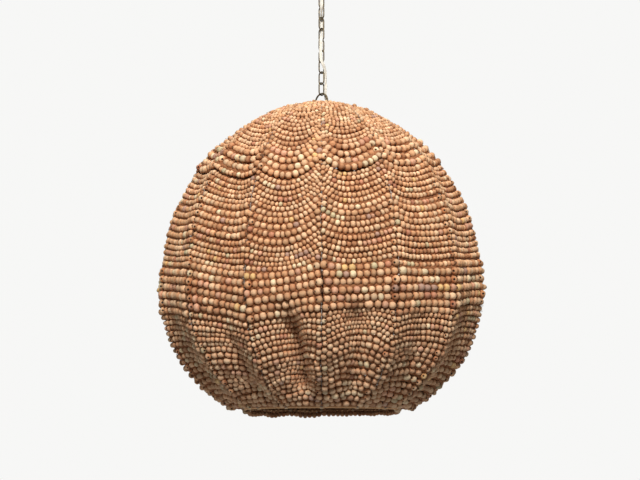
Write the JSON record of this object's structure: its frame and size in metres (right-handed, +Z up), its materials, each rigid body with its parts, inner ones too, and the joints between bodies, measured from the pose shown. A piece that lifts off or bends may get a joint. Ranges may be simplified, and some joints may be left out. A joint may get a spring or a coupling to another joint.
{
  "type": "beaded chandelier",
  "caption": "Globe chandelier of clay beads strung over bent ribs, hung by an oval-link chain and a flat cord from a round ceiling canopy, with a cluster of bulbs inside.",
  "frame": {"origin": "centre of the ceiling face: the flush top of the mounting strap and stud", "axes": "+Z up towards the ceiling, -Y towards the viewer of the picture, +X to its right"},
  "size_m": [0.7486, 0.768, 1.0916],
  "materials": {
    "antique_metal": "dull antique grey-brown",
    "dark_steel": "matt dark brown",
    "bright_metal": "plain, slightly dull",
    "ring_tan": "matt tan",
    "cord_ivory": "satin ivory",
    "dark_plastic": "matt dark brown",
    "bulb_glass": "frosted",
    "clay_crown_fine": "matt fired clay",
    "clay_crown_large": "matt fired clay",
    "clay_upper_fine": "matt fired clay",
    "clay_upper_medium": "matt fired clay",
    "clay_middle_fine": "matt fired clay",
    "clay_waist_large": "matt fired clay",
    "clay_lower_fine": "matt fired clay",
    "clay_skirt_medium": "matt fired clay"
  },
  "bodies": {
    "ceiling_set": {"mounting_strap": "dark_steel", "strap_screw_left": "bright_metal", "strap_screw_right": "bright_metal", "ceiling_stud": "dark_steel", "ceiling_canopy": "antique_metal", "cord_bushing": "dark_plastic", "canopy_collar": "antique_metal", "canopy_loop": "antique_metal", "lamp_cord": "cord_ivory"},
    "link_01": {"chain_link_01": "antique_metal"},
    "link_02": {"chain_link_02": "antique_metal"},
    "link_03": {"chain_link_03": "antique_metal"},
    "link_04": {"chain_link_04": "antique_metal"},
    "link_05": {"chain_link_05": "antique_metal"},
    "link_06": {"chain_link_06": "antique_metal"},
    "link_07": {"chain_link_07": "antique_metal"},
    "link_08": {"chain_link_08": "antique_metal"},
    "link_09": {"chain_link_09": "antique_metal"},
    "link_10": {"chain_link_10": "antique_metal"},
    "shade": {"top_hub": "dark_steel", "hub_lock_nut": "antique_metal", "shade_loop": "antique_metal", "rib_01": "dark_steel", "rib_02": "dark_steel", "rib_03": "dark_steel", "rib_04": "dark_steel", "rib_05": "dark_steel", "rib_06": "dark_steel", "rib_07": "dark_steel", "rib_08": "dark_steel", "rib_09": "dark_steel", "rib_10": "dark_steel", "rib_11": "dark_steel", "rib_12": "dark_steel", "rib_13": "dark_steel", "rib_14": "dark_steel", "bottom_ring": "ring_tan", "beads_crown_fine": "clay_crown_fine", "beads_crown_large": "clay_crown_large", "beads_upper_fine": "clay_upper_fine", "beads_upper_medium": "clay_upper_medium", "beads_middle_fine": "clay_middle_fine", "beads_waist_large": "clay_waist_large", "beads_lower_fine": "clay_lower_fine", "beads_skirt_medium": "clay_skirt_medium", "lamp_stem": "antique_metal", "lamp_cluster": "antique_metal", "cluster_finial": "antique_metal", "lamp_holder_1": "dark_plastic", "lamp_holder_2": "dark_plastic", "lamp_holder_3": "dark_plastic"},
    "bulb_1": {"bulb_cap_1": "bright_metal", "bulb_glass_1": "bulb_glass"},
    "bulb_2": {"bulb_cap_2": "bright_metal", "bulb_glass_2": "bulb_glass"},
    "bulb_3": {"bulb_cap_3": "bright_metal", "bulb_glass_3": "bulb_glass"}
  },
  "joints": [
    {"name": "link_01_swing", "type": "hinge", "parent": "ceiling_set", "child": "link_01", "pos_m": [0, 0, -0.0726], "axis": [0.7071, 0.7071, 0], "range_deg": [-12, 12], "deforming": ["lamp_cord"]},
    {"name": "link_02_swing", "type": "hinge", "parent": "link_01", "child": "link_02", "pos_m": [0, 0, -0.0991], "axis": [0.7071, -0.7071, 0], "range_deg": [-12, 12], "deforming": ["lamp_cord"]},
    {"name": "link_03_swing", "type": "hinge", "parent": "link_02", "child": "link_03", "pos_m": [0, 0, -0.126], "axis": [0.7071, 0.7071, 0], "range_deg": [-12, 12], "deforming": ["lamp_cord"]},
    {"name": "link_04_swing", "type": "hinge", "parent": "link_03", "child": "link_04", "pos_m": [0, 0, -0.1529], "axis": [0.7071, -0.7071, 0], "range_deg": [-12, 12], "deforming": ["lamp_cord"]},
    {"name": "link_05_swing", "type": "hinge", "parent": "link_04", "child": "link_05", "pos_m": [0, 0, -0.1798], "axis": [0.7071, 0.7071, 0], "range_deg": [-12, 12], "deforming": ["lamp_cord"]},
    {"name": "link_06_swing", "type": "hinge", "parent": "link_05", "child": "link_06", "pos_m": [0, 0, -0.2067], "axis": [0.7071, -0.7071, 0], "range_deg": [-12, 12], "deforming": ["lamp_cord"]},
    {"name": "link_07_swing", "type": "hinge", "parent": "link_06", "child": "link_07", "pos_m": [0, 0, -0.2336], "axis": [0.7071, 0.7071, 0], "range_deg": [-12, 12], "deforming": ["lamp_cord"]},
    {"name": "link_08_swing", "type": "hinge", "parent": "link_07", "child": "link_08", "pos_m": [0, 0, -0.2605], "axis": [0.7071, -0.7071, 0], "range_deg": [-12, 12], "deforming": ["lamp_cord"]},
    {"name": "link_09_swing", "type": "hinge", "parent": "link_08", "child": "link_09", "pos_m": [0, 0, -0.2874], "axis": [0.7071, 0.7071, 0], "range_deg": [-12, 12], "deforming": ["lamp_cord"]},
    {"name": "link_10_swing", "type": "hinge", "parent": "link_09", "child": "link_10", "pos_m": [0, 0, -0.3143], "axis": [0.7071, -0.7071, 0], "range_deg": [-12, 12], "deforming": ["lamp_cord"]},
    {"name": "shade_swing", "type": "hinge", "parent": "link_10", "child": "shade", "pos_m": [0, 0, -0.3412], "axis": [0.7071, 0.7071, 0], "range_deg": [-12, 12], "deforming": ["lamp_cord"]},
    {"name": "bulb_1_turn", "type": "hinge", "parent": "shade", "child": "bulb_1", "pos_m": [0, 0, -0.6463], "axis": [0, -0.788, -0.6157], "range_deg": [0, 1440]},
    {"name": "bulb_2_turn", "type": "hinge", "parent": "shade", "child": "bulb_2", "pos_m": [0, 0, -0.6463], "axis": [0.6824, 0.394, -0.6157], "range_deg": [0, 1440]},
    {"name": "bulb_3_turn", "type": "hinge", "parent": "shade", "child": "bulb_3", "pos_m": [0, 0, -0.6463], "axis": [-0.6824, 0.394, -0.6157], "range_deg": [0, 1440]}
  ]
}
